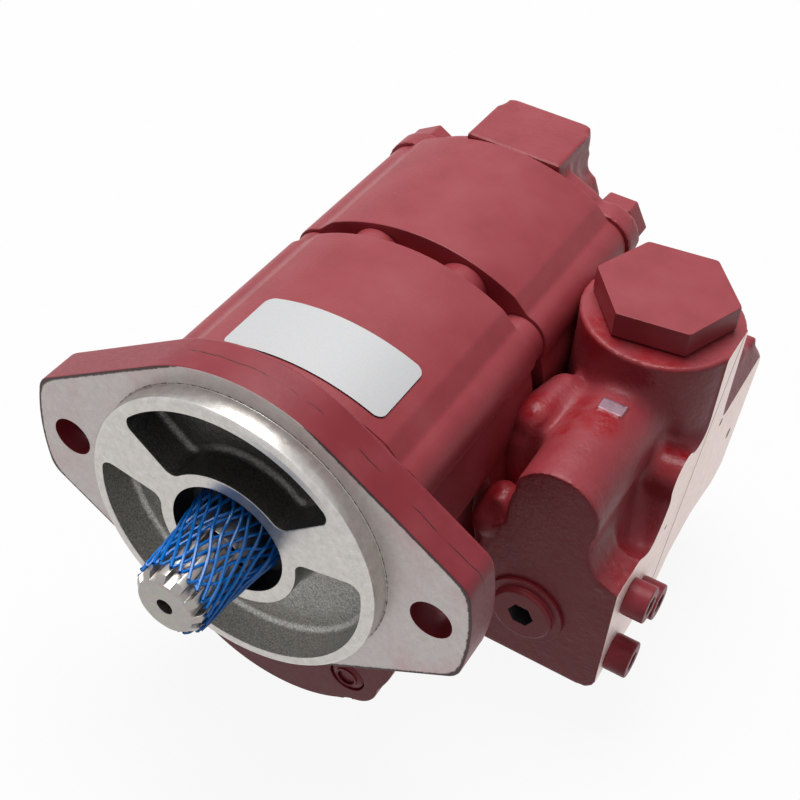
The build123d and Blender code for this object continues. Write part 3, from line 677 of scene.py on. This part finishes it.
fasteners = {
    "bossHexPlug": ("hex_plug", 0.25), "frontPortPlug": ("front_port_plug", 0.3),
    "tieBoltUpperLeft": ("tie_bolt_upper_left", 0.5), "tieBoltUpperRight": ("tie_bolt_upper_right", 0.5),
    "tieBoltLowerLeft": ("tie_bolt_lower_left", 0.5), "tieBoltLowerRight": ("tie_bolt_lower_right", 0.5),
    "valveScrewUpper": ("valve_screw_upper", 0.5), "valveScrewMiddle": ("valve_screw_middle", 0.5),
    "valveScrewLower": ("valve_screw_lower", 0.5),
}
portSocket = {"centre": (59.4, -41.4), "radius": 3.9}
boltTip = {"behind": 15.0, "forward": 1.6, "ring": 2.4, "groove": 0.5, "depth": 0.5}


def pressTip(bm):
    # a lower tie bolt's end shows in its counterbore: a disc with a ring pressed in it
    tip = [f for f in bm.faces if f.normal.y < -0.9 and all(v.co.y < boltTip["behind"] for v in f.verts)]
    bmesh.ops.translate(bm, verts=list({v for f in tip for v in f.verts}), vec=(0, -boltTip["forward"], 0))
    bmesh.ops.inset_region(bm, faces=tip, thickness=boltTip["ring"])
    bmesh.ops.inset_region(bm, faces=tip, thickness=boltTip["groove"], depth=-boltTip["depth"])
    bmesh.ops.inset_region(bm, faces=tip, thickness=boltTip["groove"], depth=boltTip["depth"])


for name, (node, edge) in fasteners.items():
    bm = meshOf(node)
    if node == "front_port_plug":
        x, z = portSocket["centre"]
        for face in bm.faces:
            inside = all(hypot(v.co.x - x, v.co.z - z) < portSocket["radius"] for v in face.verts)
            face.material_index = 1 if inside else 0
    softenEdges(bm, edge)
    if node.startswith("tie_bolt_lower"):
        pressTip(bm)
    # painted shade: the valve screws take the darker shaded red
    paint = shadedScrewEnamel if name.startswith("valveScrew") else smoothEnamel
    finishPiece(name, bm, [paint, shadedSocket], stands=node)
print("fasteners made")


# Threads in the two ports, that the CAD leaves as plain bores

portThreads = {
    "inletThread": ((-42.7, 52.0, -19.5), (-1, 0, 0), 13.2, 16.0),
    "outletThread": ((0, 155.0, 20.5), (0, 1, 0), 6.4, 11.0),
}
threadCut = {"start": 1.2, "pitch": 2.0, "depth": 0.8, "wall": 0.05}
for name, (mouth, way, radius, length) in portThreads.items():
    # ridges one pitch apart on a closed ring, turned about the port's axis
    t = threadCut
    bm = bmesh.new()
    ridges = int((length - t["start"]) / t["pitch"])
    profile = [(radius, 0, -t["start"])]
    for k in range(ridges):
        z = -t["start"] - k * t["pitch"]
        profile += [(radius - t["depth"], 0, z - t["pitch"] / 2), (radius, 0, z - t["pitch"])]
    profile += [(radius + t["wall"], 0, profile[-1][2]), (radius + t["wall"], 0, -t["start"])]
    corners = [bm.verts.new(p) for p in profile]
    sides = [bm.edges.new((corners[i - 1], corners[i])) for i in range(len(corners))]
    bmesh.ops.spin(bm, geom=corners + sides, cent=(0, 0, 0), axis=(0, 0, 1), angle=2 * pi, steps=72,
                   use_merge=True)
    bmesh.ops.recalc_face_normals(bm, faces=bm.faces)
    turn = Vector(way).to_track_quat("Z", "Y").to_matrix().to_4x4()
    bm.transform(Matrix.Translation(mouth) @ turn)
    finishPiece(name, bm, [boredIron], flatten=False)
print("port threads made")


# Shaft and net

shaftShape = {"edge": 0.2}
bm = meshOf("drive_shaft")
softenEdges(bm, shaftShape["edge"])
finishPiece("splinedShaft", bm, [shaftSteel], body="shaft", stands="drive_shaft")

netShape = {
    "front": -27.4, "rear": -1.5, "frontRadius": 9.35, "rearRadius": 12.0, "strands": 23, "turn": 66,
    "steps": 24, "thickness": 0.42, "gap": 0.5, "sway": 0.5, "wander": 0.14, "lean": 1.0,
}


def netStrand(start, way):
    # one strand of the net, lying along the shaft with a slow twist; way is 1 for the outer layer's
    # strands and -1 for the inner layer's, which twist the other way
    n = netShape
    layer = 1 if way > 0 else 0
    points = []
    for i in range(n["steps"] + 1):
        t = i / n["steps"]
        y = n["front"] + (n["rear"] - n["front"]) * t
        r = n["frontRadius"] + (n["rearRadius"] - n["frontRadius"]) * t ** 2
        wave = noise.noise(Vector((start * 3, t * 3, way)))
        r += layer * n["gap"] + abs(wave) * n["sway"]
        a = start + way * radians(n["turn"]) * t + wave * n["wander"]
        y += (wave + sin(a) * n["lean"]) * (1 - t)
        points.append((r * cos(a) * mm, y * mm, r * sin(a) * mm))
    return points


netCurve = bpy.data.curves.new("net", "CURVE")
netCurve.dimensions = "3D"
netCurve.bevel_depth = netShape["thickness"] * mm
netCurve.bevel_resolution = 1
for way in (-1, 1):
    for k in range(netShape["strands"]):
        points = netStrand(2 * pi * k / netShape["strands"], way)
        spline = netCurve.splines.new("POLY")
        spline.points.add(len(points) - 1)
        for point, place in zip(spline.points, points):
            point.co = (*place, 1)
# the cut ends join in pairs as loops
for k in range(netShape["strands"]):
    start = 2 * pi * k / netShape["strands"]
    ends = [netStrand(start, 1)[0], netStrand(start, -1)[0]]
    spline = netCurve.splines.new("POLY")
    spline.points.add(1)
    for point, place in zip(spline.points, ends):
        point.co = (*place, 1)
netHolder = bpy.data.objects.new("netHolder", netCurve)
bpy.context.scene.collection.objects.link(netHolder)
netMesh = bpy.data.meshes.new_from_object(netHolder.evaluated_get(bpy.context.evaluated_depsgraph_get()))
bpy.data.objects.remove(netHolder)
bm = bmesh.new()
bm.from_mesh(netMesh)
bm.transform(Matrix.Scale(1000, 4))
finishPiece("protectiveNet", bm, [netPlastic], body="shaft", stands="shaft_sleeve",
            flatten=False)
print("shaft and net made")


# Label

labelShape = {"axisHeight": -23}   # the axis that the label bends round
bm = meshOf("label_plate")
bmesh.ops.dissolve_limit(bm, angle_limit=flatAngle, verts=bm.verts, edges=bm.edges)
for face in bm.faces:
    c = face.calc_center_median()
    out = Vector((c.x, 0, c.z - labelShape["axisHeight"])).normalized()
    face.material_index = 0 if face.normal.dot(out) > 0.7 else 1
finishPiece("blankLabel", bm, [labelVinyl, labelDarkSides], stands="label_plate")
print("label made")

# inner pieces keep their solids
innerPieces = {"shaft_seal": nitrile, "hex_plug_seal": nitrile, "retaining_ring": phosphated,
               "shaft_bush": bronzeBush}
for node, material in innerPieces.items():
    nodes[node].data.materials.clear()
    nodes[node].data.materials.append(material)


# Floor, light and camera

studio = {
    "floorColour": "#FCFCFC", "bounce": "#5A5A5A", "glow": 0.92, "floorRadius": 4, "floorGap": 0.5,
    "ambient": 0.17, "lamp": 14.0, "lampSize": 0.9, "lampPlace": (-0.25, 0.35, 1.2), "lampAim": (0, 0.07, 0),
}


def seenDirectly(tree):
    # 1 for the rays that should show the pale studio, 0 for those that only light the pump
    rays = addNode(tree, "ShaderNodeLightPath")
    seen = addNode(tree, "ShaderNodeMath", {0: rays.outputs["Is Camera Ray"],
                                            1: rays.outputs["Is Glossy Ray"]}, operation="MAXIMUM")
    both = addNode(tree, "ShaderNodeMath", {0: seen.outputs[0], 1: rays.outputs["Is Transmission Ray"]},
                   operation="MAXIMUM")
    return both.outputs[0]


# pale matt floor that keeps the pump's soft shadow
floorMaterial, tree, shader = newMaterial("paleFloor")
seen = seenDirectly(tree)
tone = addNode(tree, "ShaderNodeMix", {"Factor": seen, 6: hexColour(studio["bounce"]),
                                       7: hexColour(studio["floorColour"])}, data_type="RGBA")
tree.links.new(tone.outputs[2], shader.inputs["Base Color"])
shader.inputs["Roughness"].default_value = 0.9
shader.inputs["Specular IOR Level"].default_value = 0
glow = addNode(tree, "ShaderNodeEmission", {"Color": (1, 1, 1, 1), "Strength": 1})
share = addNode(tree, "ShaderNodeMath", {0: seen, 1: studio["glow"]}, operation="MULTIPLY")
lit = addNode(tree, "ShaderNodeMixShader", {0: share.outputs[0], 1: shader.outputs[0], 2: glow.outputs[0]})
tree.links.new(lit.outputs[0], tree.nodes["Material Output"].inputs["Surface"])

bm = bmesh.new()
bmesh.ops.create_circle(bm, cap_ends=True, segments=64, radius=studio["floorRadius"])
bmesh.ops.translate(bm, verts=bm.verts, vec=(0, 0, cadBox[0].z - studio["floorGap"] * mm))
floorMesh = bpy.data.meshes.new("floor")
bm.to_mesh(floorMesh)
bm.free()
floorMesh.materials.append(floorMaterial)
floor = bpy.data.objects.new("floor", floorMesh)
bpy.context.scene.collection.objects.link(floor)

world = bpy.data.worlds.new("studio")
bpy.context.scene.world = world
world.use_nodes = True
tree = world.node_tree
background = tree.nodes["Background"]
level = addNode(tree, "ShaderNodeMapRange", {"Value": seenDirectly(tree), "To Min": studio["ambient"],
                                             "To Max": 1})
background.inputs["Color"].default_value = (0.96, 0.97, 1, 1)
tree.links.new(level.outputs[0], background.inputs["Strength"])

# one large soft lamp overhead
softbox = bpy.data.lights.new("overheadSoftbox", "AREA")
softbox.shape = "DISK"
softbox.size = studio["lampSize"]
softbox.energy = studio["lamp"]
lamp = bpy.data.objects.new("overheadSoftbox", softbox)
bpy.context.scene.collection.objects.link(lamp)
lamp.location = studio["lampPlace"]
aim = Vector(studio["lampAim"]) - Vector(studio["lampPlace"])
lamp.rotation_euler = aim.to_track_quat("-Z", "Y").to_euler()

# camera at the photograph's angle
cameraView = {
    "right": (0.857094, 0.511841, 0.058389), "down": (0.389519, -0.569708, -0.723676),
    "ahead": (-0.337142, 0.643002, -0.687665), "place": (134.77, -179.55, 255.61),
    "focalPixels": 1380.57, "framePixels": 800, "sensor": 36, "clipStart": 10,
}
right, down, ahead = (Vector(cameraView[row]) for row in ("right", "down", "ahead"))
camera = bpy.data.objects.new("camera", bpy.data.cameras.new("camera"))
bpy.context.scene.collection.objects.link(camera)
camera.data.sensor_width = cameraView["sensor"]
camera.data.lens = cameraView["focalPixels"] * cameraView["sensor"] / cameraView["framePixels"]
camera.data.clip_start = cameraView["clipStart"] * mm
axes = Matrix((right, -down, -ahead)).transposed()
camera.matrix_world = Matrix.Translation(Vector(cameraView["place"]) * mm) @ axes.to_4x4()
bpy.context.scene.camera = camera
bpy.context.scene.view_settings.view_transform = "Standard"

print("scene ready")
